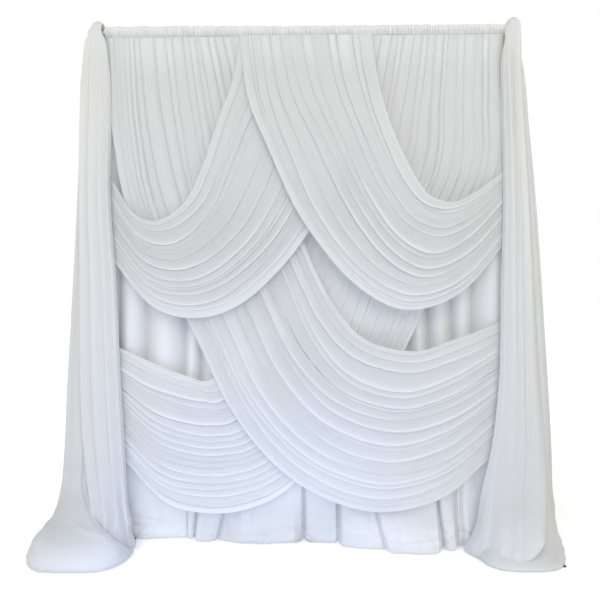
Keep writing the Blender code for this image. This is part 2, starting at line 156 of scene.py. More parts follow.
# The row from which the panel's rows lie closer, where its folds meet while it hangs, and their depth.
PANEL_CLOSER = 6
HANG_VALLEYS = (-1.22, -1.073, -0.912, -0.700, -0.600, -0.470, -0.330, -0.170, -0.010, 0.140, 0.300, 0.460,
                0.600, 0.723, 0.868, 0.995, 1.24)
HANG_DEPTH = 0.056
# The hem on the floor from left to right: where along the bar, how far that place leans along the bar for
# each metre of height, how far behind the seam it lies, and the depth of a narrow notch there.
HEM_TABLE = [
    (-1.16, 0, 0.05, 0), (-0.954, 0, 0.061, 0), (-0.725, 0, 0.088, 0), (-0.695, 0, 0.088, 0.014),
    (-0.688, 0, 0.066, 0), (-0.65, 0.08, 0.07, 0.026), (-0.641, 0.08, 0.024, 0), (-0.56, 0.25, 0.018, 0),
    (-0.527, 0.33, 0.034, 0), (-0.518, 0.33, 0.058, 0.012), (-0.367, 0, -0.006, 0),
    (-0.23, -0.45, -0.008, 0.008), (-0.061, 0, 0.02, 0), (-0.004, 0, 0.05, 0.036), (0.015, 0, 0.035, 0),
    (0.097, 0, 0.02, 0), (0.196, 0, 0.01, 0.036), (0.215, 0, -0.04, 0), (0.33, 0, -0.075, 0),
    (0.47, -0.5, -0.078, 0.016), (0.5, -0.5, -0.138, 0), (0.6, -0.3, -0.148, 0.006),
    (0.7, -0.1, -0.148, 0), (0.752, 0, -0.13, 0), (0.79, -0.12, -0.064, 0.04), (0.83, -0.1, -0.088, 0),
    (0.856, -0.04, -0.078, 0), (0.88, 0, -0.036, 0.034), (0.905, 0, -0.03, 0.026), (0.935, 0, -0.046, 0),
    (1.16, 0, 0.01, 0),
]

# A scarf's two tails by height. Distances are from the post's axis, outward being away from the drape. A
# front row has its height, how much higher its outer edge is than its inner one, the places of both edges
# along the bar and in front of it, how far it bows forward between them, and the share of the folds' depth.
# A back row goes round the post over its outer side as a boxy oval: its height, its reach inward, outward,
# back and front, the angles in degrees from straight behind at which it starts and ends, and the same share.
# The foot power says how boxy the oval's outer front corner is at the floor.
Scarf = namedtuple("Scarf", "name side seed knob_edges foot_power flat bands front back")

SCARVES = [
    Scarf("scarf_left", -1, 53, (-0.028, 0.052), 0.66, (0.45, 6.2), (6, 10, 14, 9), [
        (0.009, 0, -0.23, 0.08, 0, 0.33, 0.11, 0.4), (0.06, 0, -0.226, 0.09, -0.01, 0.3, 0.085, 0.5),
        (0.11, 0, -0.217, 0.097, -0.02, 0.265, 0.06, 0.6),
        (0.21, 0, -0.203, 0.1, -0.015, 0.195, 0.035, 1), (0.38, 0, -0.19, 0.094, 0.03, 0.125, 0.03, 1),
        (0.62, 0, -0.174, 0.088, 0.068, 0.092, 0.028, 1), (1, 0, -0.15, 0.08, 0.09, 0.074, 0.026, 1),
        (1.5, 0, -0.126, 0.075, 0.092, 0.062, 0.026, 1),
        (2.05, 0, -0.092, 0.079, 0.098, 0.055, 0.022, 1.3),
        (2.5, 0, -0.095, 0.076, 0.092, 0.047, 0.014, 1.4),
        (2.8, 0, -0.073, 0.055, 0.078, 0.043, 0.008, 1.1),
        (2.92, 0, -0.052, 0.048, 0.066, 0.044, 0.004, 0.5),
    ], [
        (2.8, 0.06, 0.082, 0.056, 0.028, -25, 146, 0.5), (2.4, 0.07, 0.1, 0.07, 0.034, -25, 152, 0.7),
        (1.9, 0.08, 0.121, 0.08, 0.038, -25, 156, 0.8), (1.4, 0.09, 0.149, 0.09, 0.04, -25, 158, 0.8),
        (0.9, 0.1, 0.177, 0.105, 0.048, -25, 164, 0.8), (0.54, 0.11, 0.191, 0.13, 0.066, -28, 172, 0.8),
        (0.32, 0.13, 0.208, 0.17, 0.1, -35, 176, 0.8), (0.205, 0.16, 0.224, 0.23, 0.225, -45, 190, 0.7),
        (0.15, 0.19, 0.256, 0.31, 0.33, -52, 214, 0.6), (0.1, 0.22, 0.298, 0.39, 0.41, -60, 236, 0.5),
        (0.05, 0.24, 0.318, 0.43, 0.45, -66, 252, 0.4), (0.01, 0.246, 0.318, 0.44, 0.456, -70, 262, 0.3),
        (FLOOR_LIFT, 0.215, 0.288, 0.41, 0.425, -70, 262, 0),
    ]),
    Scarf("scarf_right", 1, 67, (-0.057, 0.031), 0.76, (0.45, 6.2), (9, 12, 7, 13), [
        (FLOOR_LIFT, 0.165, -0.27, 0.085, 0.098, 0.235, 0.145, 0),
        (0.01, 0.16, -0.296, 0.088, 0.104, 0.245, 0.16, 0.3),
        (0.06, 0.13, -0.268, 0.102, 0.108, 0.245, 0.138, 0.4),
        (0.17, 0.08, -0.231, 0.106, 0.112, 0.222, 0.08, 0.45),
        (0.32, 0.035, -0.207, 0.102, 0.132, 0.168, 0.034, 0.5),
        (0.56, 0, -0.15, 0.092, 0.146, 0.108, 0.025, 0.5),
        (0.9, 0, -0.106, 0.082, 0.124, 0.082, 0.024, 0.6), (1.5, 0, -0.088, 0.076, 0.1, 0.064, 0.024, 1),
        (2.05, 0, -0.074, 0.067, 0.074, 0.056, 0.02, 1.3),
        (2.5, 0, -0.078, 0.05, 0.048, 0.05, 0.014, 1.4),
        (2.8, 0, -0.078, 0.047, 0.036, 0.045, 0.008, 1.1),
    ], [
        (2.8, 0.055, 0.046, 0.056, 0.03, -25, 146, 0.5), (2.4, 0.065, 0.086, 0.07, 0.034, -25, 150, 0.7),
        (1.9, 0.075, 0.126, 0.08, 0.038, -25, 152, 0.8), (1.4, 0.085, 0.16, 0.09, 0.042, -25, 152, 0.8),
        (0.9, 0.095, 0.191, 0.105, 0.054, -25, 152, 0.8),
        (0.54, 0.105, 0.208, 0.13, 0.078, -28, 154, 0.8),
        (0.32, 0.12, 0.214, 0.175, 0.105, -35, 158, 0.8), (0.19, 0.15, 0.22, 0.25, 0.155, -45, 172, 0.8),
        (0.12, 0.19, 0.226, 0.34, 0.215, -55, 205, 0.7),
        (0.07, 0.215, 0.234, 0.405, 0.275, -62, 232, 0.6),
        (0.032, 0.235, 0.24, 0.435, 0.345, -68, 252, 0.5),
        (0.01, 0.245, 0.242, 0.44, 0.385, -70, 258, 0.3),
        (FLOOR_LIFT, 0.22, 0.222, 0.41, 0.36, -70, 258, 0),
    ]),
]
# The scarf over the top of a post: in front of the axis and height, and how fast it bends down to its edges.
KNOB_TABLE = ((0.047, 2.995), (0.034, 3.028), (0.017, 3.041), (0.0, 3.0437))
KNOB_CURVE = 20.0
KNOB_RELIEF = 0.18
# How boxy a back tail's oval is, how boxy its inner corner is at the floor, and the depth of a scarf's folds.
SKIRT_POWER = 0.7
INNER_POWER = 0.56
SCARF_FOLD = 0.011

NOISE_CELLS = 64
VECTOR, COLOUR, NUMBER = "NodeSocketVector", "NodeSocketColor", "NodeSocketFloat"


def ease(value):
    """A share that starts and ends level: 3 times its square less 2 times its cube, held between 0 and 1."""
    value = np.clip(value, 0.0, 1.0)
    return value * value * (3.0 - 2.0 * value)


def soft_noise(a, b, seed):
    """Smooth random heights from -1 to 1 over the plane of a and b.

    Each whole-number point has a random height, and between four of them the height is their eased mean.
    """
    heights = np.random.default_rng(seed).uniform(-1.0, 1.0, (NOISE_CELLS, NOISE_CELLS))
    a, b = np.broadcast_arrays(a, b)
    low_a, low_b = np.floor(a).astype(int), np.floor(b).astype(int)
    share_a, share_b = ease(a - low_a), ease(b - low_b)
    near_a, near_b = low_a % NOISE_CELLS, low_b % NOISE_CELLS
    far_a, far_b = (low_a + 1) % NOISE_CELLS, (low_b + 1) % NOISE_CELLS
    near = heights[near_a, near_b] * (1 - share_a) + heights[far_a, near_b] * share_a
    far = heights[near_a, far_b] * (1 - share_a) + heights[far_a, far_b] * share_a
    return near * (1 - share_b) + far * share_b


def curve_through(rows, knots, places):
    """A smooth curve through the rows of a table, read at places measured as the knots are.

    Between two rows it is a cubic. Its slope at a row is the mean of the chords to the rows before and after,
    each weighted by the other's length, and half the chord at the ends.
    """
    step = np.diff(knots).reshape(-1, *[1] * (rows.ndim - 1))
    chord = np.diff(rows, axis=0) / step
    slope = np.empty_like(rows)
    slope[1:-1] = (chord[:-1] * step[1:] + chord[1:] * step[:-1]) / (step[:-1] + step[1:])
    slope[0], slope[-1] = chord[0] / 2, chord[-1] / 2
    first = np.clip(np.searchsorted(knots, places, side="right") - 1, 0, len(rows) - 2)
    run = step[first]
    t = (places - knots[first]).reshape(run.shape) / run
    start = rows[first] * (1 + 2 * t) * (1 - t) ** 2 + rows[first + 1] * t * t * (3 - 2 * t)
    return start + run * (slope[first] * t * (1 - t) ** 2 - slope[first + 1] * t * t * (1 - t))


def fold_shape(t, lean, sharp):
    """One fold from valley to valley: its height and its place across.

    The height is a raised cosine to a power, so the crest is narrower than the valley. The place slides down
    the sheet by the lean times the height, so the crest hangs over the next valley.
    """
    height = (0.5 - 0.5 * np.cos(2 * np.pi * t)) ** sharp
    return height, t + lean * height


def gather_phase(x, pitch):
    """How many gathers lie between the middle of the bar and x, unevenly spaced."""
    return x / pitch + 0.9 * soft_noise(x * 17.0 + 32.0, 0.5, 81)


def swag_fold(t, lean):
    """One fold of a swag from its upper valley to its lower one: its height and its place across.

    The height rises as a power of the way down to a thin rounded crest close above the lower valley, a bell
    curve, and then drops back. The place slides down by the lean times the height, so the crest hangs over
    the next fold.
    """
    rise = 0.55 * np.clip(t / 0.88, 0.0, 1.0) ** 1.7
    crest = 0.45 * np.exp(-((t - 0.87) / 0.075) ** 2)
    height = (rise + crest) * (1 - ease((t - 0.90) / 0.10))
    return height, t + lean * height


def puffs(places, valleys, power):
    """Rounded puffs between sharp valleys: the sine of the way from one valley to the next, to a power."""
    index = np.clip(np.searchsorted(valleys, places, side="right") - 1, 0, len(valleys) - 2)
    valleys = np.asarray(valleys)
    t = (places - valleys[index]) / (valleys[index + 1] - valleys[index])
    return np.sin(np.pi * np.clip(t, 0.0, 1.0)) ** power


def creases(a, b, seed):
    """Rounded swells from 0 to 1 with sharp creases between them, where soft random heights pass zero."""
    return np.abs(soft_noise(a, b, seed)) ** 0.6


def bands_across(widths, columns):
    """For each grid column, the band it lies in and its share of the way through that band."""
    steps = round(columns / len(widths))
    count = np.arange(steps * len(widths) + 1)
    band = np.minimum(count // steps, len(widths) - 1)
    return band, count / steps - band


def band_edges(widths, along, seed, sway):
    """Each band's start and width as shares of the sheet, at each row: its own width, swelling along it."""
    widths = np.asarray(widths, float)
    swell = soft_noise(np.arange(len(widths))[None, :] * 5.37, along[:, None] * 3.1, seed)
    spread = 0.8 + 0.2 * ease(along[:, None] / 0.25)
    width = (widths.mean() + (widths - widths.mean()) * spread) * (1 + sway * swell)
    width /= width.sum(axis=1, keepdims=True)
    return np.cumsum(width, axis=1) - width, width


def flat_lengths(points, axis):
    """The cloth laid flat: the mean run over the sheet to each row, or with axis 1 to each column."""
    steps = np.linalg.norm(np.diff(points, axis=axis), axis=2).mean(axis=1 - axis)
    return np.concatenate([[0.0], np.cumsum(steps)])


def add_sheet(name, points, crest=0.0, ring=False, flip=False):
    """A sheet of cloth from a grid of points, with a flat map in metres and a crest value at each point."""
    rows, columns = points.shape[:2]
    index = np.arange(rows * columns).reshape(rows, columns)
    closed = points
    if ring:
        index = np.hstack([index, index[:, :1]])
        closed = np.concatenate([points, points[:, :1]], axis=1)
    spots = np.stack(np.meshgrid(flat_lengths(closed, 1), flat_lengths(closed, 0)), axis=-1)
    order = [0, 3, 2, 1] if flip else [0, 1, 2, 3]

    def corners(grid):
        return np.stack([grid[:-1, :-1], grid[:-1, 1:], grid[1:, 1:], grid[1:, :-1]], axis=2)[:, :, order]

    faces = corners(index).reshape(-1, 4)
    mesh = bpy.data.meshes.new(name)
    mesh.vertices.add(rows * columns)
    mesh.vertices.foreach_set("co", points.astype(np.float32).ravel())
    mesh.loops.add(faces.size)
    mesh.loops.foreach_set("vertex_index", faces.ravel().astype(np.int32))
    mesh.polygons.add(len(faces))
    mesh.polygons.foreach_set("loop_start", np.arange(0, faces.size, 4, dtype=np.int32))
    mesh.update(calc_edges=True)
    layer = mesh.uv_layers.new(name="Cloth")
    layer.data.foreach_set("uv", corners(spots).astype(np.float32).ravel())
    values = np.broadcast_to(crest, (rows, columns)).astype(np.float32)
    mesh.attributes.new("crest", "FLOAT", "POINT").data.foreach_set("value", values.ravel())
    mesh.shade_smooth()
    thing = bpy.data.objects.new(name, mesh)
    bpy.context.scene.collection.objects.link(thing)
    return thing


def grid_points(x, y, z):
    """A grid of points from their three places, each given for the grid or for one of its ways."""
    return np.stack(np.broadcast_arrays(x, y, z), axis=-1)


def past_post(x):
    """How far in front of the posts' axes cloth has to lie at x: the front of a circle round each axis."""
    return np.sqrt(np.maximum(POST_WRAP ** 2 - (np.abs(x) - POST_X) ** 2, 0.0))


def swag_points(swag, cloth):
    """A swag: lines across the sheet from its upper to its lower edge, swept from the casing to the post.

    Along the sheet the line's ends follow a smooth curve through the stations. Across it lie the folds, each
    standing out by its height times a depth that grows with its width. Where the sheet hangs down they are
    pleats, a sine to a power. Under the casing fine gathers stand out as well and die away. All of it is
    scaled by a sine of the drop below the casing, so that sheets which lie in front of each other part from
    one seam and never cross. Both edges are turned back, and at a post the cloth lies on its round front.

    The crest value follows the folds' height where the swag runs level, partly for cloth doubled at the
    crests and partly as a painted highlight. It is raised at the turned edges, where the sheet lies double.
    Painted light raises it below the casing and along the lit stretch, where shade falls. Over the upper
    part, down to the drop where its fullness ends, it is raised partly for that fullness and partly as
    painted light.
    """
    rows, columns = SWAG_GRID
    along = np.linspace(0.0, 1.0, rows)
    table = np.array(swag.stations)
    stations = curve_through(table, np.arange(len(table)), along * (len(table) - 1))
    upper_x, upper_z, lower_x, lower_z, forward, relief = stations.T[:, :, None]
    run_x, run_z = lower_x - upper_x, lower_z - upper_z
    length = np.hypot(run_x, run_z)
    middle = np.column_stack([(upper_x + lower_x)[:, 0], (upper_z + lower_z)[:, 0]])
    heading = np.gradient(middle, axis=0)
    level = (np.abs(heading[:, 0]) / np.hypot(*heading.T))[:, None]

    rng = np.random.default_rng(swag.seed)
    count = len(swag.bands)
    band, t = bands_across(swag.bands, columns)
    t = 1 - (1 - t) ** 1.6
    start, width = band_edges(swag.bands, along, swag.seed, sway=0.45)
    swung = ease((level - 0.2) / 0.4)
    lean = (cloth.crest_lean * rng.uniform(0.6, 1.2, count))[band] * (0.2 + 0.8 * swung)
    height, place = swag_fold(t, lean)
    pleat = rng.uniform(0.2, 1.9, count)[band] * np.sin(np.pi * t) ** 0.5
    height = height * swung + pleat * (1 - swung)
    share = np.clip(start[:, band] + width[:, band] * place, 0.0, 1.0)

    swell = soft_noise(np.arange(count)[None, :] * 3.7 + 0.5, along[:, None] * 4.3, swag.seed + 1)
    swell = np.clip(rng.uniform(0.4, 1.1, count)[None, :] * (1 + 0.9 * swell), 0.06, 1.7)
    swell[:, -1] *= 0.4
    depth = swag.room * cloth.fold_share * (1 - np.exp(-width * length / (0.9 * swag.room))) * swell
    depth = np.minimum(depth, swag.room)[:, band]

    x, z = upper_x + run_x * share, upper_z + run_z * share
    drop = CLOTH_TOP - z
    flare = np.sin(np.pi / 2 * np.clip(drop / FLARE_DROP, 0.0, 1.0))
    growth = 0.4 + 0.6 * ease(drop / 0.4)
    crease = creases(share * 38.0, along[:, None] * 2.6, swag.seed + 2)
    fine = creases(share * 95.0, along[:, None] * 4.0, swag.seed + 5)
    wave = soft_noise(share * 7.0, along[:, None] * 5.0, swag.seed + 3)
    small = cloth.crease_height * (1.8 * crease + fine)
    relief_depth = growth * relief * height * depth + relief * small * (0.25 + 0.75 * ease(drop / 0.9))
    seam_x = upper_x[0] + run_x[0] * share
    phase = gather_phase(seam_x, cloth.gather_pitch)
    phase = phase + 0.8 * soft_noise(share * 11.0, drop * 3.0, swag.seed + 4)
    gather = np.abs(np.sin(np.pi * phase)) ** 0.6 * np.exp(-drop / 0.10)
    gather = (0.8 * gather + (0.1 * crease + 0.9 * height) * np.exp(-drop / 0.5)) * ease(drop / 0.006)
    gather *= swag.puff * ease(share / 0.10) * ease((1 - share) / 0.03)
    y = -(swag.seam + flare * (forward + relief_depth + 0.003 * wave) + gather)
    y = y - SEAM_LIP * np.exp(-drop / 0.006)
    z = z + (SEAM_LIP + 0.8 * swag.seam) * np.exp(-drop / 0.012)
    points = grid_points(x, y, z)

    edges = []
    for column, sign in ((0, -1.0), (-1, 1.0)):
        past = sign * EDGE_PAST / length
        behind = EDGE_BEHIND * np.clip(drop[:, [column]] / 0.05, 0.0, 1.0)
        edges.append(points[:, [column]] + grid_points(past * run_x, behind, past * run_z))
    points = np.concatenate([edges[0][:, ::-1], points, edges[1]], axis=1)
    points[..., 1] = np.minimum(points[..., 1], -past_post(points[..., 0]))

    rim = np.full((rows, len(EDGE_PAST)), RIM_CREST) * ease(drop[:, :1] / 0.3)
    # Partly painted highlight: the crest value lightens the fold crests, less where the folds hang down.
    crest = height * np.clip(depth / (0.22 * swag.room), 0.0, 1.0) * ease(drop / 0.3) * (0.3 + 0.7 * swung)
    crest = np.where(share > start[:, -1:] + 0.15 * width[:, -1:], swag.border * ease(drop / 0.9), crest)
    # Painted light: the upper part and the lit stretch are lightened where shade falls; the upper part is
    # partly fuller cloth too.
    value, reach = swag.doubled
    stretch_light = LAP_LIGHT * ease((drop - swag.lap[0]) / 0.15) * ease((swag.lap[1] - drop) / 0.15)
    # Painted light: the sheet is lightened below the casing, where the casing's shade falls.
    head_light = (HEAD_LIGHT + HEAD_FOLD_LIGHT * height) * (1 - ease(drop / HEAD_LIGHT_DROP))
    doubled = np.maximum(np.maximum(value * (1 - ease(drop / reach) ** 4), stretch_light), head_light)
    crest = np.where(crest < 0, crest, np.maximum(crest, doubled))
    return points, np.concatenate([rim, crest, rim], axis=1)


def panel_points(cloth):
    """The backing panel: straight down from the seam, then out to its hem line on the floor and tucked under.

    Its folds are puffs between valleys while it hangs. Near the floor they give way to the hem line's own
    bends and to notches that die away as an exponential on both sides, blended by height. Its sides are drawn
    forward to the tied swags and lie over the base plates. The crest value paints shade with the panel's
    shade
    colour: it is 1 where the folds' valleys are deepest, and where the cloth nears the floor, weaker towards
    both ends there.
    """
    notch_run, ledge_height, ledge_depth, crumple_depth, tied_depth = 0.008, 0.085, 0.010, 0.010, 0.027
    table = np.array(PANEL_TABLE)
    half = PANEL_GRID[0] // 2
    places = np.concatenate([np.linspace(0, PANEL_CLOSER, half, endpoint=False),
                             np.linspace(PANEL_CLOSER, len(table) - 1, half)])
    z, back, relief, lean, puff = curve_through(table, np.arange(len(table)), places).T[:, :, None]
    z = np.maximum(z, FLOOR_LIFT)
    x = np.linspace(-CASING_LENGTH / 2, CASING_LENGTH / 2, PANEL_GRID[1])[None, :]
    low = ease((0.75 - z) / 0.5)
    drift = 0.03 * soft_noise(x * 2.0, z * 1.2, 71)
    hung = puffs(x + drift, HANG_VALLEYS, power=0.95) * (1 + 0.3 * soft_noise(x * 5.0, z, 72))
    spots, tilts, behind, notches = np.array(HEM_TABLE).T
    place = x - np.interp(x, spots, tilts) * z
    hem_y = np.interp(place, spots, behind)
    notch = sum(deep * np.exp(-np.abs(place - spot) / notch_run)
                for spot, deep in zip(spots, notches) if deep)
    z = z + 0.45 * np.minimum(notch, 0.03) * ease((0.05 - z) / 0.05)
    ledge = ledge_height + 0.022 * soft_noise(x * 9.0, 0.0, 78)
    ledge = ledge_depth * ease((ledge - z) / 0.010) * ease(z / 0.03)
    ledge = ledge * ease(soft_noise(x * 3.1, 0.0, 79) * 2 + 0.6)
    swell = 0.010 * soft_noise(place * 7.0, z * 2.0, 76) + 0.006 * soft_noise(place * 17.0, z * 5.0, 77)
    fold = (1 - low) * HANG_DEPTH * (1 - hung) + low * (0.018 + notch + swell)
    phase = gather_phase(x, cloth.gather_pitch) + soft_noise(x * 9.0, z, 73)
    drop = CLOTH_TOP - z
    gather = 0.004 * np.abs(np.sin(np.pi * phase)) ** 0.7 * np.exp(-drop / 0.2) * ease(drop / 0.015)
    crumple = creases(x * 5.0 + z * 9.0, z * 17.0 + x * 2.0, 74)
    crumple = crumple + 0.5 * creases(x * 21.0, z * 26.0 - x * 6.0, 75)
    crumple = crumple_depth * crumple * ease((0.26 - z) / 0.18) * ease(z / 0.02)
    tied = tied_depth * ease((np.abs(x) - 0.99) / 0.12) * ease((drop - 0.1) / 0.5) * (1 - low)
    y = back + relief * fold + lean * hem_y - puff - gather - crumple - ledge - tied
    z = z + (PLATE_LIFT + 0.002) * ease((np.abs(x) - 0.97) / 0.025) * ease((0.12 - z) / 0.10)
    # Painted shade: darker near the floor, less towards both ends, and in the hanging folds' valleys.
    hem = ease((0.45 - z) / 0.3) * (0.4 + 0.6 * ease((x + 0.8) / 0.25) - 0.35 * ease((x - 0.1) / 0.3))
    return grid_points(x, y, z), np.maximum(hem, (1 - low) * np.clip(1 - hung, 0.0, 1.0))


def casing_points(cloth):
    """The gathered casing: a drop-shaped section carried along the bar, puffed out between sharp gathers.

    The strip goes once round the bar from the seam under it, and its last edge laps over its first. Its
    distance from the bar is the sine of the gathers' phase to a power, times a reach that changes round the
    bar and a swell that changes along it. The crest value drops as a bell curve in the gathers' creases on
    the lower part, and there its darker colour paints shade into the creases.
    """
    along = np.linspace(0.0, 1.0, CASING_GRID[0])[:, None]
    turn = np.linspace(0.0, 1.0, CASING_GRID[1])[None, :]
    angle = np.pi + 2 * np.pi * turn + CASING_LAP * (turn - 0.5)
    up, out = np.cos(angle), np.sin(angle)
    x = (along - 0.5) * CASING_LENGTH
    upper = ease(up)
    pitch = CASING_PITCH * cloth.gather_pitch
    gathers = along * CASING_LENGTH / pitch
    phase = gather_phase(x, pitch) + 0.6 * soft_noise(gathers / 1.6, angle * 0.5, 84) * upper
    swell = 0.75 + 0.45 * soft_noise(gathers / 1.3, angle * 0.8 + 3.0, 82)
    sharp = np.abs(np.sin(np.pi * phase)) ** 0.5
    puff = swell * (sharp * (1 - 0.65 * upper) + 0.55 * upper)
    pinch = ease(0.5 - up) * (1 - ease(-up * 4 - 3))
    reach = 0.0040 + 0.0035 * out ** 2 + 0.0040 * upper + 0.0040 * pinch
    lift = (0.0035 + 0.0060 * ease(0.2 - x)) * upper
    inner = 0.0010 * (1 - ease(turn / 0.08))
    bumps = 0.0012 * soft_noise(gathers * 0.8, angle * 1.3, 83)
    stand = reach * puff + lift + bumps - inner - 0.0012 * pinch
    side = (CASING_FRONT + stand) * out * np.where(up < 0, np.abs(out) ** 0.6, 1.0)
    height = np.where(up < 0, CASING_BELOW, CASING_ABOVE) + np.where(up > -0.2, stand, 0.0015 * puff)
    # Painted shade: where the crest value drops, the casing shows its darker colour in the creases.
    strength = np.clip(0.4 + 0.6 * soft_noise(gathers / 1.1, angle * 0.2, 85), 0.0, 0.8)
    crest = 1 - strength * np.exp(-(np.sin(np.pi * phase) / 0.36) ** 2) * ease(0.7 - up)
    return grid_points(x, -side, BAR_HEIGHT + height * up), crest


def front_section(row, across):
    """A front tail's section: straight from its inner to its outer edge, bowed forward between them.

    The bow is a power of 4 times the share across times the rest. The height grows to the outer edge by the
    lift times the share across to the power 4.5.
    """
    z, lift, inner, inner_front, outer, outer_front, bow, _ = row
    out = inner + (outer - inner) * across
    front = inner_front + (outer_front - inner_front) * across + bow * (4 * across * (1 - across)) ** 0.75
    return grid_points(out, front, z + lift * across ** 4.5)


def back_section(row, across, foot_power):
    """A back tail's plan section: a boxy oval round the post, the sine and cosine of its angle to a power."""
    z, inward, outward, back, front, start, end, _ = row
    angle = np.radians(start + (end - start) * across)
    side, behind = np.sin(angle), np.cos(angle)
    at_floor = (behind < 0) * ease((0.35 - z) / 0.25)
    power = SKIRT_POWER + (np.where(side > 0, foot_power, INNER_POWER) - SKIRT_POWER) * at_floor
    out = np.where(side > 0, outward, inward) * np.sign(side) * np.abs(side) ** power
    forward = -np.where(behind > 0, back, front) * np.sign(behind) * np.abs(behind) ** power
    return grid_points(out, forward, z)


def knob_section(front, z, edges, across):
    """The scarf over the post's top: level across, bent down by the square of the distance from the axis."""
    out = edges[0] + (edges[1] - edges[0]) * across
    return grid_points(out, front, z - KNOB_CURVE * out ** 2)


def scarf_points(scarf):
    """A scarf: its plan sections joined from the front hem over the post to the back hem, then folded.

    The folds stand out along the surface's own normal, away from the post. Near the floor lumps and ridges of
    soft noise are added, and the cloth lies on the floor or on the base plate. The crest value grows as a
    square root of the height, a little less on the back tail, and again at the floor and on the fold crests:
    partly for layers bunched over each other and partly as painted light.
    """
    rows = SCARF_GRID[0]
    band, t = bands_across(scarf.bands, SCARF_GRID[1])
    across = np.linspace(0.0, 1.0, len(band))
    knob = list(KNOB_TABLE) + [(-front, z) for front, z in reversed(KNOB_TABLE[:-1])]
    sections = [front_section(row, across) for row in scarf.front]
    sections += [knob_section(front, z, scarf.knob_edges, across) for front, z in knob]
    sections += [back_section(row, across, scarf.foot_power) for row in scarf.back]
    reliefs = [row[-1] for row in scarf.front] + [KNOB_RELIEF] * len(knob) + [row[-1] for row in scarf.back]
    sections = np.array(sections)
    knots = flat_lengths(sections, 0)
    places = np.linspace(0.0, knots[-1], rows)
    base = curve_through(sections, knots, places)
    relief = np.interp(places, knots, reliefs)[:, None]

    rng = np.random.default_rng(scarf.seed)
    along = places / knots[-1]
    start, width = band_edges(scarf.bands, along, scarf.seed, sway=0.3)
    lean = (0.22 * rng.uniform(0.3, 1.2, len(scarf.bands)))[band]
    height, place = fold_shape(t, lean, rng.uniform(0.8, 1.2, len(scarf.bands))[band])
    share = np.clip(start[:, band] + width[:, band] * place, 0.0, 1.0)
    column = share * (len(band) - 1)
    low = np.minimum(column.astype(int), len(band) - 2)
    part = (column - low)[..., None]
    line = np.arange(rows)[:, None]
    base = base[line, low] * (1 - part) + base[line, low + 1] * part
    base = grid_points(scarf.side * (POST_X + base[..., 0]), -base[..., 1], base[..., 2])

    normal = np.cross(np.gradient(base, axis=1), np.gradient(base, axis=0)) * scarf.side
    normal /= np.maximum(np.linalg.norm(normal, axis=2, keepdims=True), 1e-9)
    z = base[..., 2]
    swell = 1 + 0.4 * soft_noise(np.arange(len(scarf.bands))[None, :] * 3.3, along[:, None] * 9.0, scarf.seed)
    fold = height * (SCARF_FOLD * swell)[:, band] * relief
    crease = 0.0007 * soft_noise(share * 40.0, along[:, None] * 8.0, scarf.seed + 2)
    near_floor = ease((0.36 - z) / 0.3) * ease(z / 0.02)
    lumps = soft_noise(share * 6.0, z * 11.0, scarf.seed + 3)
    ridges = (1 - np.abs(soft_noise(share * 5.0, z * 16.0, scarf.seed + 4))) ** 6
    crumple = near_floor * (0.008 * (lumps + 1) + 0.008 * ridges)
    points = base + normal * (fold + (crease + crumple) * np.minimum(relief * 3, 1))[..., None]
    inside_x = PLATE_HALF[0] + PLATE_REACH - np.abs(points[..., 0] - scarf.side * POST_X)
    inside_y = PLATE_HALF[1] + PLATE_REACH - np.abs(points[..., 1])
    on_plate = ease(np.minimum(inside_x, inside_y) / PLATE_EDGE)
    points[..., 2] = np.maximum(points[..., 2], FLOOR_LIFT + PLATE_LIFT * on_plate)
    front_end = knots[len(scarf.front) + len(knob) - 1]
    # Partly painted light: the crest value makes the scarf lighter higher up, on its back tail a little less,
    # at the floor and on fold crests.
    bunched_and_lit = np.sqrt(np.clip((z - 0.5) / 2.2, 0.0, 1.0)) * np.where(places < front_end, 1.0, 0.85)[:, None]
    return points, np.maximum(bunched_and_lit, 0.75 * ease((0.30 - z) / 0.2)) + 0.2 * height * relief


def fill(tree, node, inputs):
    """Fills a node's inputs with values, or links them to sockets."""
    for name, value in inputs.items():
        if isinstance(value, bpy.types.NodeSocket):
            tree.links.new(value, node.inputs[name])
        else:
            node.inputs[name].default_value = value


def add_node(tree, kind, inputs=None, **settings):
    """A shader node with its settings and its inputs."""
    made = tree.nodes.new(kind)
    for key, value in settings.items():
        setattr(made, key, value)
    fill(tree, made, inputs or {})
    return made


def calc(tree, operation, *values, clamp=False):
    """The result of a math node."""
    return add_node(tree, "ShaderNodeMath", dict(enumerate(values)), operation=operation,
                    use_clamp=clamp).outputs[0]


def multiplied(tree, vector, factors):
    """A vector whose parts are multiplied by factors."""
    return add_node(tree, "ShaderNodeVectorMath", {0: vector, 1: factors}, operation="MULTIPLY").outputs[0]


def noise(tree, vector, scale=1.0, detail=3.0, roughness=0.5):
    """The value of a noise texture at a place."""
    return add_node(tree, "ShaderNodeTexNoise", {"Vector": vector, "Scale": scale, "Detail": detail,
                                                 "Roughness": roughness}).outputs["Fac"]


def blend(tree, factor, one, other):
    """A colour between two."""
    return add_node(tree, "ShaderNodeMix", {"Factor": factor, 6: one, 7: other}, data_type="RGBA").outputs[2]


def new_group(name, inputs, outputs):
    """An empty node group with named sockets, what it is given, and its output node."""
    group = bpy.data.node_groups.new(name, "ShaderNodeTree")
    for socket, kind, default in inputs:
        made = group.interface.new_socket(socket, in_out="INPUT", socket_type=kind)
        if default is not None:
            made.default_value = default
    for socket, kind in outputs:
        group.interface.new_socket(socket, in_out="OUTPUT", socket_type=kind)
    return group, group.nodes.new("NodeGroupInput").outputs, group.nodes.new("NodeGroupOutput")


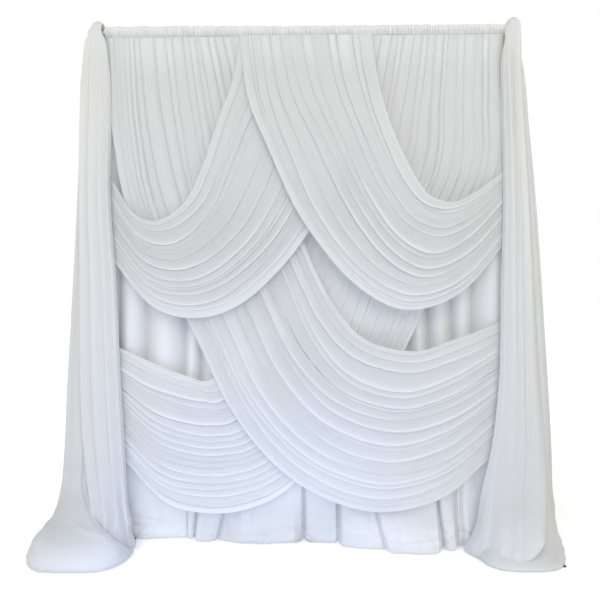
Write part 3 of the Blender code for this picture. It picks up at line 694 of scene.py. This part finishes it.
def weave_group():
    """Plain weave on a map in metres: threads both ways, thicker and thinner threads, and a fine crepe.

    A thread stands out by the sine of its phase, the larger of the two ways. The group puts out the cloth's
    colour, how much of the surface the threads cover, and a height for a bump.
    """
    group = bpy.data.node_groups.get("Cloth weave")
    if group:
        return group
    group, given, result = new_group("Cloth weave", [
        ("Map", VECTOR, None), ("Colour", COLOUR, (0.85, 0.86, 0.88, 1.0)),
        ("Thread colour", COLOUR, (0.80, 0.81, 0.83, 1.0)), ("Crest colour", COLOUR, (0.93, 0.94, 0.96, 1.0)),
        ("Threads per metre", NUMBER, 900.0), ("Cover", NUMBER, 0.8), ("Crest", NUMBER, 0.0),
    ], [("Colour", COLOUR), ("Cover", NUMBER), ("Height", NUMBER)])
    scaled = add_node(group, "ShaderNodeVectorMath", {0: given["Map"], "Scale": given["Threads per metre"]},
                      operation="SCALE")
    parts = add_node(group, "ShaderNodeSeparateXYZ", {0: scaled.outputs[0]}).outputs
    turns = [calc(group, "MULTIPLY", parts[axis], math.pi) for axis in "XY"]
    thread = calc(group, "MAXIMUM", *[calc(group, "ABSOLUTE", calc(group, "SINE", turn)) for turn in turns])
    streaks = [noise(group, multiplied(group, given["Map"], stretch), detail=2.0)
               for stretch in ((420.0, 9.0, 1.0), (9.0, 420.0, 1.0))]
    shade = calc(group, "MULTIPLY_ADD", calc(group, "MULTIPLY", *streaks), 1.6, 0.0, clamp=True)
    colour = blend(group, shade, given["Colour"], given["Thread colour"])
    # The crest value mixes in the crest colour: doubled cloth, and the painted light and shade that a sheet
    # carries in its crest value.
    crest = calc(group, "POWER", given["Crest"], 2.0)
    gaps = add_node(group, "ShaderNodeMapRange", {"Value": thread, "From Min": 0.45, "From Max": 0.9,
                                                  "To Min": -0.08, "To Max": 0.04}).outputs[0]
    cover = calc(group, "MULTIPLY_ADD", given["Crest"], 0.12, given["Cover"])
    crepe = noise(group, given["Map"], scale=75.0, roughness=0.6)
    pulls = noise(group, multiplied(group, given["Map"], (75.0, 2.5, 1.0)), roughness=0.55)
    fill(group, result, {
        "Colour": blend(group, crest, colour, given["Crest colour"]),
        "Cover": calc(group, "ADD", cover, gaps, clamp=True),
        "Height": calc(group, "MULTIPLY_ADD", thread, 0.04, calc(group, "MULTIPLY_ADD", crepe, 0.12, pulls)),
    })
    return group


def wear_group():
    """Handled metal on object coordinates: fine lines along one way, scuffs, and a height for a bump."""
    group = bpy.data.node_groups.get("Metal wear")
    if group:
        return group
    group, given, result = new_group("Metal wear", [
        ("Colour", COLOUR, (0.6, 0.6, 0.6, 1.0)), ("Worn colour", COLOUR, (0.7, 0.7, 0.7, 1.0)),
        ("Grain", VECTOR, (300.0, 300.0, 8.0)), ("Roughness", NUMBER, 0.35),
    ], [("Colour", COLOUR), ("Roughness", NUMBER), ("Height", NUMBER)])
    spot = add_node(group, "ShaderNodeTexCoord").outputs["Object"]
    lines = noise(group, multiplied(group, spot, given["Grain"]))
    scuffs = noise(group, spot, scale=22.0, detail=6.0, roughness=0.65)
    worn = add_node(group, "ShaderNodeMapRange", {"Value": scuffs, "From Min": 0.56, "From Max": 0.74})
    fill(group, result, {
        "Colour": blend(group, worn.outputs[0], given["Colour"], given["Worn colour"]),
        "Roughness": calc(group, "MULTIPLY_ADD", lines, 0.25, given["Roughness"]), "Height": lines,
    })
    return group


def empty_tree(owner):
    """The node tree of a material or a world, without its nodes."""
    owner.use_nodes = True
    owner.node_tree.nodes.clear()
    return owner.node_tree


def cloth_material(name, colour, shade, cover, through, cloth, rough=0.75, sheen=0.25, crest_colour=None,
                   bump_strength=0.7):
    """Woven cloth. Cover is how much the threads hide, and through the share of light that goes through."""
    material = bpy.data.materials.new(name)
    tree = empty_tree(material)
    flat_map = add_node(tree, "ShaderNodeUVMap", uv_map="Cloth")
    crest = add_node(tree, "ShaderNodeAttribute", attribute_name="crest")
    weave = add_node(tree, "ShaderNodeGroup", {
        "Map": flat_map.outputs[0], "Colour": (*colour, 1.0), "Thread colour": (*shade, 1.0),
        "Crest colour": (*(crest_colour or cloth.crest_colour), 1.0), "Cover": cover,
        "Threads per metre": 1.0 / cloth.thread_pitch, "Crest": crest.outputs["Fac"],
    }, node_tree=weave_group()).outputs
    bump = add_node(tree, "ShaderNodeBump", {"Height": weave["Height"], "Strength": bump_strength,
                                             "Distance": 0.006}).outputs[0]
    surface = add_node(tree, "ShaderNodeBsdfPrincipled", {
        "Base Color": weave["Colour"], "Roughness": rough, "Sheen Weight": sheen, "Sheen Roughness": 0.45,
        "Specular IOR Level": 0.25, "Normal": bump,
    })
    if cover < 1.0:
        fill(tree, surface, {"Alpha": weave["Cover"]})
    if through > 0.0:
        lit = add_node(tree, "ShaderNodeBsdfTranslucent", {"Color": weave["Colour"], "Normal": bump})
        surface = add_node(tree, "ShaderNodeMixShader",
                           {0: through, 1: surface.outputs[0], 2: lit.outputs[0]})
    add_node(tree, "ShaderNodeOutputMaterial", {"Surface": surface.outputs[0]})
    return material


def metal_material(name, colour, worn, grain, rough, metallic):
    """Handled metal. Grain is how many of its fine lines lie in a metre along x, y and z."""
    material = bpy.data.materials.new(name)
    tree = empty_tree(material)
    wear = add_node(tree, "ShaderNodeGroup", {
        "Colour": (*colour, 1.0), "Worn colour": (*worn, 1.0), "Grain": grain, "Roughness": rough,
    }, node_tree=wear_group()).outputs
    bump = add_node(tree, "ShaderNodeBump", {"Height": wear["Height"], "Strength": 0.2, "Distance": 0.0003})
    surface = add_node(tree, "ShaderNodeBsdfPrincipled", {
        "Base Color": wear["Colour"], "Roughness": wear["Roughness"], "Metallic": metallic,
        "Normal": bump.outputs[0],
    })
    add_node(tree, "ShaderNodeOutputMaterial", {"Surface": surface.outputs[0]})
    return material


def hang(name, shape, material, node, flip=False):
    """Makes a sheet from its points and crest value, and puts it in its solid's place on the frame."""
    thing = add_sheet(name, *shape, flip=flip)
    thing.data.materials.append(material)
    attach(thing, BODY)
    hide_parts(node)
    return thing


class DrapeCloth(bpy.types.PropertyGroup):
    sheer_colour: FloatVectorProperty(
        name="Sheer Colour", description="Colour of the sheer swags, casing and scarves",
        default=(0.785, 0.790, 0.782), subtype="COLOR", min=0.0, max=1.0)
    # Partly painted light: this colour stands for doubled cloth and also lightens the swags' fold crests,
    # their tops below the casing and the stretches where shade falls.
    crest_colour: FloatVectorProperty(
        name="Crest Colour", description="Colour of the sheer where a fold's crest doubles it",
        default=(0.915, 0.923, 0.935), subtype="COLOR", min=0.0, max=1.0)
    scarf_colour: FloatVectorProperty(
        name="Scarf Colour", description="Colour of one layer of a scarf",
        default=(0.62, 0.628, 0.618), subtype="COLOR", min=0.0, max=1.0)
    # Partly painted light: besides layers over each other, this colour lightens the scarves higher up, at the
    # floor and on fold crests.
    scarf_double_colour: FloatVectorProperty(
        name="Doubled and Lit Scarf Colour", description="Colour of a scarf where its layers lie over each other",
        default=(0.715, 0.718, 0.71), subtype="COLOR", min=0.0, max=1.0)
    satin_colour: FloatVectorProperty(
        name="Satin Colour", description="Colour of the opaque backing panel",
        default=(0.63, 0.632, 0.628), subtype="COLOR", min=0.0, max=1.0)
    # Painted shade: the backing is mixed towards this darker colour in its valleys and near the floor.
    panel_shade_colour: FloatVectorProperty(
        name="Panel Shade Colour", description="Colour of the backing panel near the floor",
        default=(0.51, 0.517, 0.52), subtype="COLOR", min=0.0, max=1.0)
    cover: FloatProperty(
        name="Cover", description="How much of what is behind the sheer its threads hide",
        default=0.82, min=0.1, max=1.0, subtype="FACTOR")
    scarf_cover: FloatProperty(
        name="Scarf Cover", description="How much of what is behind the scarves their threads hide",
        default=0.94, min=0.1, max=1.0, subtype="FACTOR")
    light_through: FloatProperty(
        name="Light Through", description="Share of the light that passes through the sheer",
        default=0.42, min=0.0, max=1.0, subtype="FACTOR")
    thread_pitch: FloatProperty(
        name="Thread Pitch", description="Distance between the threads of the weave",
        default=0.0011, min=0.0002, max=0.01, subtype="DISTANCE", unit="LENGTH")
    gather_pitch: FloatProperty(
        name="Gather Pitch", description="Distance between the gathers along the bar",
        default=0.027, min=0.01, max=0.1, subtype="DISTANCE", unit="LENGTH")
    fold_share: FloatProperty(
        name="Fold Depth", description="Share of the free depth in front of a swag that its folds take",
        default=0.38, min=0.0, max=1.0, subtype="FACTOR")
    crest_lean: FloatProperty(
        name="Crest Lean", description="How far a fold's crest hangs over the next, as a share of its width",
        default=0.34, min=0.0, max=1.0, subtype="FACTOR")
    crease_height: FloatProperty(
        name="Crease Height", description="Height of the fine creases along the folds",
        default=0.0022, min=0.0, max=0.01, subtype="DISTANCE", unit="LENGTH")


class DrapeStand(bpy.types.PropertyGroup):
    tube_colour: FloatVectorProperty(
        name="Tube Colour", description="Colour of the aluminium posts and crossbar",
        default=(0.60, 0.61, 0.62), subtype="COLOR", min=0.0, max=1.0)
    plate_colour: FloatVectorProperty(
        name="Plate Colour", description="Colour of the coated steel base plates",
        default=(0.05, 0.05, 0.055), subtype="COLOR", min=0.0, max=1.0)


class DrapeStage(bpy.types.PropertyGroup):
    floor_colour: FloatVectorProperty(
        name="Floor Colour", description="Colour of the plain floor",
        default=(0.93, 0.93, 0.93), subtype="COLOR", min=0.0, max=1.0)
    floor_glow: FloatProperty(
        name="Floor Glow", description="How much light the lit floor gives by itself",
        default=0.22, min=0.0, max=1.0)
    high_light: FloatProperty(
        name="High Light", description="Strength of the soft light from above the camera",
        default=1.18, min=0.0)
    front_light: FloatProperty(
        name="Front Light", description="Strength of the soft low light from beside the camera",
        default=1.05, min=0.0)
    back_light: FloatProperty(
        name="Back Light", description="Strength of the weak light from behind",
        default=0.3, min=0.0)
    cool_power: FloatProperty(
        name="Cool Light", description="Power of the cool low light in front",
        default=9.2, min=0.0, subtype="POWER", unit="POWER")
    room_light: FloatProperty(
        name="Room Light", description="Strength of the even light from all round",
        default=0.5, min=0.0, max=5.0)
    lens: FloatProperty(
        name="Lens", description="Focal length of the camera that sees the whole drape",
        default=41.4, min=10.0, max=200.0, subtype="DISTANCE_CAMERA")


class DRAPE_OT_stand(bpy.types.Operator):
    """Finish the posts, the crossbar and the base plates"""
    bl_idname = "drape.finish_stand"
    bl_label = "Finish Stand"

    def execute(self, context):
        look = context.scene.drape_stand
        tube, bar = [metal_material(name, look.tube_colour, (0.72, 0.73, 0.74), grain, 0.26, 1.0)
                     for name, grain in (("brushed aluminium", (260, 260, 7)),
                                         ("brushed aluminium bar", (7, 260, 260)))]
        plate = metal_material("coated steel", look.plate_colour, (0.13, 0.13, 0.14), (90, 90, 90), 0.42, 0.0)
        finishes = {"upright_left": tube, "upright_right": tube, "crossbar": bar,
                    "base_plate_left": plate, "base_plate_right": plate}
        for node, material in finishes.items():
            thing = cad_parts.get(node)
            if thing is None:
                raise RuntimeError(f"the frame has no {node}")
            thing.data.materials.clear()
            thing.data.materials.append(material)
        return {"FINISHED"}


class DRAPE_OT_casing(bpy.types.Operator):
    """Sew the gathered casing round the crossbar"""
    bl_idname = "drape.add_casing"
    bl_label = "Add Casing"

    def execute(self, context):
        cloth = context.scene.drape_cloth
        # Painted shade: the casing's own colour is this darker share of the sheer colour, which the crest
        # value lifts to the plain share away from the creases.
        crease_shade_colour = tuple(0.73 * value for value in cloth.sheer_colour)
        plain = tuple(0.94 * value for value in cloth.sheer_colour)
        material = cloth_material("casing chiffon", crease_shade_colour, crease_shade_colour, 1.0, 0.15, cloth, crest_colour=plain)
        casing = hang("casing", casing_points(cloth), material, "heading", flip=True)
        return {"FINISHED"}


class DRAPE_OT_backing(bpy.types.Operator):
    """Hang the opaque backing panel"""
    bl_idname = "drape.add_backing"
    bl_label = "Add Backing Panel"

    def execute(self, context):
        cloth = context.scene.drape_cloth
        material = cloth_material("backing satin", cloth.satin_colour, (0.60, 0.602, 0.598), 1.0, 0.0, cloth,
                                  rough=0.5, sheen=0.3, crest_colour=cloth.panel_shade_colour, bump_strength=0.25)
        panel = hang("backing", panel_points(cloth), material, "backing_panel")
        return {"FINISHED"}


class DRAPE_OT_swags(bpy.types.Operator):
    """Drape the four sheer swags from the casing to the posts"""
    bl_idname = "drape.add_swags"
    bl_label = "Add Swags"

    def execute(self, context):
        cloth = context.scene.drape_cloth
        material = cloth_material("swag chiffon", cloth.sheer_colour, (0.75, 0.757, 0.752), cloth.cover,
                                  cloth.light_through, cloth)
        for swag in SWAGS:
            upper_x, _, lower_x = swag.stations[0][:3]
            thing = hang(swag.name.replace("swag", "sheer"), swag_points(swag, cloth), material, swag.name,
                         flip=upper_x < lower_x)
        return {"FINISHED"}


class DRAPE_OT_scarves(bpy.types.Operator):
    """Throw a long sheer scarf over the top of each post"""
    bl_idname = "drape.add_scarves"
    bl_label = "Add Scarves"

    def execute(self, context):
        cloth = context.scene.drape_cloth
        material = cloth_material("scarf chiffon", cloth.scarf_colour, (0.60, 0.606, 0.598),
                                  cloth.scarf_cover, 0.6 * cloth.light_through, cloth,
                                  crest_colour=cloth.scarf_double_colour, bump_strength=0.3)
        for scarf in SCARVES:
            thing = hang(scarf.name.replace("scarf", "post_scarf"), scarf_points(scarf), material, scarf.name,
                         flip=scarf.side < 0)
        return {"FINISHED"}


class DRAPE_OT_stage(bpy.types.Operator):
    """Set the floor, the lights and the camera"""
    bl_idname = "drape.set_stage"
    bl_label = "Set Stage"

    def execute(self, context):
        stage = context.scene.drape_stage
        scene = context.scene
        scene.view_settings.view_transform = "Standard"
        self.add_floor(stage)
        self.add_world(scene, stage)
        for name, azimuth, elevation, softness, strength, colour in (
                ("high light", -10.0, 46.0, 60.0, stage.high_light, (1.0, 0.985, 0.96)),
                ("front light", 6.0, 14.0, 50.0, stage.front_light, (1.0, 0.995, 0.98)),
                ("back light", 150.0, 50.0, 60.0, stage.back_light, (1.0, 1.0, 1.0))):
            sun = self.add_light(scene, name, "SUN", azimuth, elevation, strength, colour)
            sun.data.angle = math.radians(softness)
        cool = self.add_light(scene, "cool light", "AREA", 0.0, 0.8814, stage.cool_power, (0.30, 0.50, 1.0))
        cool.data.shape = "RECTANGLE"
        cool.data.size, cool.data.size_y = 1.9, 0.3
        cool.location = (-0.28, -1.3, 0.42)
        cool.visible_camera = False
        self.add_camera(scene, stage)
        return {"FINISHED"}

    def add_floor(self, stage):
        """A round floor: rings of points whose radius grows with the square of the ring's share out."""
        rings, spokes, first, reach = 40, 96, 0.05, 60.0
        radius = (np.linspace(0.0, 1.0, rings) ** 2 * reach + first)[:, None]
        angle = np.linspace(0.0, 2 * np.pi, spokes, endpoint=False)[None, :]
        points = grid_points(radius * np.cos(angle), radius * np.sin(angle), 0.0)
        floor = add_sheet("floor", points, ring=True, flip=True)
        material = bpy.data.materials.new("plain floor")
        tree = empty_tree(material)
        spot = add_node(tree, "ShaderNodeTexCoord").outputs["Object"]
        dark = [0.985 * value for value in stage.floor_colour]
        surface = add_node(tree, "ShaderNodeBsdfPrincipled", {
            "Base Color": blend(tree, noise(tree, spot, scale=3.0, detail=4.0), (*stage.floor_colour, 1.0),
                                (*dark, 1.0)),
            "Roughness": 0.9, "Specular IOR Level": 0.2, "Emission Color": (1.0, 1.0, 1.0, 1.0),
            "Emission Strength": stage.floor_glow,
        })
        add_node(tree, "ShaderNodeOutputMaterial", {"Surface": surface.outputs[0]})
        floor.data.materials.append(material)

    def add_world(self, scene, stage):
        """White behind the drape, and a weaker even light from all round."""
        scene.world = bpy.data.worlds.new("studio")
        tree = empty_tree(scene.world)
        even = add_node(tree, "ShaderNodeBackground",
                        {"Color": (0.99, 1.0, 1.0, 1.0), "Strength": stage.room_light})
        white = add_node(tree, "ShaderNodeBackground", {"Color": (1.0, 1.0, 1.0, 1.0), "Strength": 1.0})
        seen = add_node(tree, "ShaderNodeLightPath").outputs["Is Camera Ray"]
        mix = add_node(tree, "ShaderNodeMixShader", {0: seen, 1: even.outputs[0], 2: white.outputs[0]})
        add_node(tree, "ShaderNodeOutputWorld", {"Surface": mix.outputs[0]})

    def add_light(self, scene, name, kind, azimuth, elevation, power, colour):
        """A light aimed by degrees: its azimuth is 0 from the front and grows to the right."""
        data = bpy.data.lights.new(name, kind)
        data.energy = power
        data.color = colour
        light = bpy.data.objects.new(name, data)
        scene.collection.objects.link(light)
        light.rotation_euler = (math.radians(90.0 - elevation), 0.0, math.radians(azimuth))
        return light

    def add_camera(self, scene, stage):
        """Level, 4 m in front of the drape and a little to the right of square on."""
        turn, distance, aside, height = math.radians(1.5), 4.0, -0.025, 1.42
        data = bpy.data.cameras.new("camera")
        data.lens = stage.lens
        camera = bpy.data.objects.new("camera", data)
        scene.collection.objects.link(camera)
        camera.location = (aside + distance * math.sin(turn), -distance * math.cos(turn), height)
        camera.rotation_euler = (math.pi / 2, 0.0, turn)
        scene.camera = camera


OPERATORS = (DRAPE_OT_stand, DRAPE_OT_casing, DRAPE_OT_backing, DRAPE_OT_swags, DRAPE_OT_scarves,
             DRAPE_OT_stage)


class DRAPE_PT_sidebar(bpy.types.Panel):
    """The drape's sizes, colours and steps"""
    bl_idname = "DRAPE_PT_sidebar"
    bl_label = "Backdrop Drape"
    bl_space_type = "VIEW_3D"
    bl_region_type = "UI"
    bl_category = "Drape"

    def draw(self, context):
        for name in ("drape_cloth", "drape_stand", "drape_stage"):
            group = getattr(context.scene, name)
            column = self.layout.column(align=True)
            for key in group.bl_rna.properties.keys():
                if key not in ("rna_type", "name"):
                    column.prop(group, key)
        for operator in OPERATORS:
            self.layout.operator(operator.bl_idname)


CLASSES = (DrapeCloth, DrapeStand, DrapeStage, *OPERATORS, DRAPE_PT_sidebar)


def register():
    for made in CLASSES:
        bpy.utils.register_class(made)
    bpy.types.Scene.drape_cloth = PointerProperty(type=DrapeCloth)
    bpy.types.Scene.drape_stand = PointerProperty(type=DrapeStand)
    bpy.types.Scene.drape_stage = PointerProperty(type=DrapeStage)


def unregister():
    del bpy.types.Scene.drape_stage
    del bpy.types.Scene.drape_stand
    del bpy.types.Scene.drape_cloth
    for made in reversed(CLASSES):
        bpy.utils.unregister_class(made)


def main():
    register()
    bpy.ops.drape.finish_stand()
    bpy.ops.drape.add_casing()
    bpy.ops.drape.add_backing()
    bpy.ops.drape.add_swags()
    bpy.ops.drape.add_scarves()
    bpy.ops.drape.set_stage()


if __name__ == "__main__":
    main()
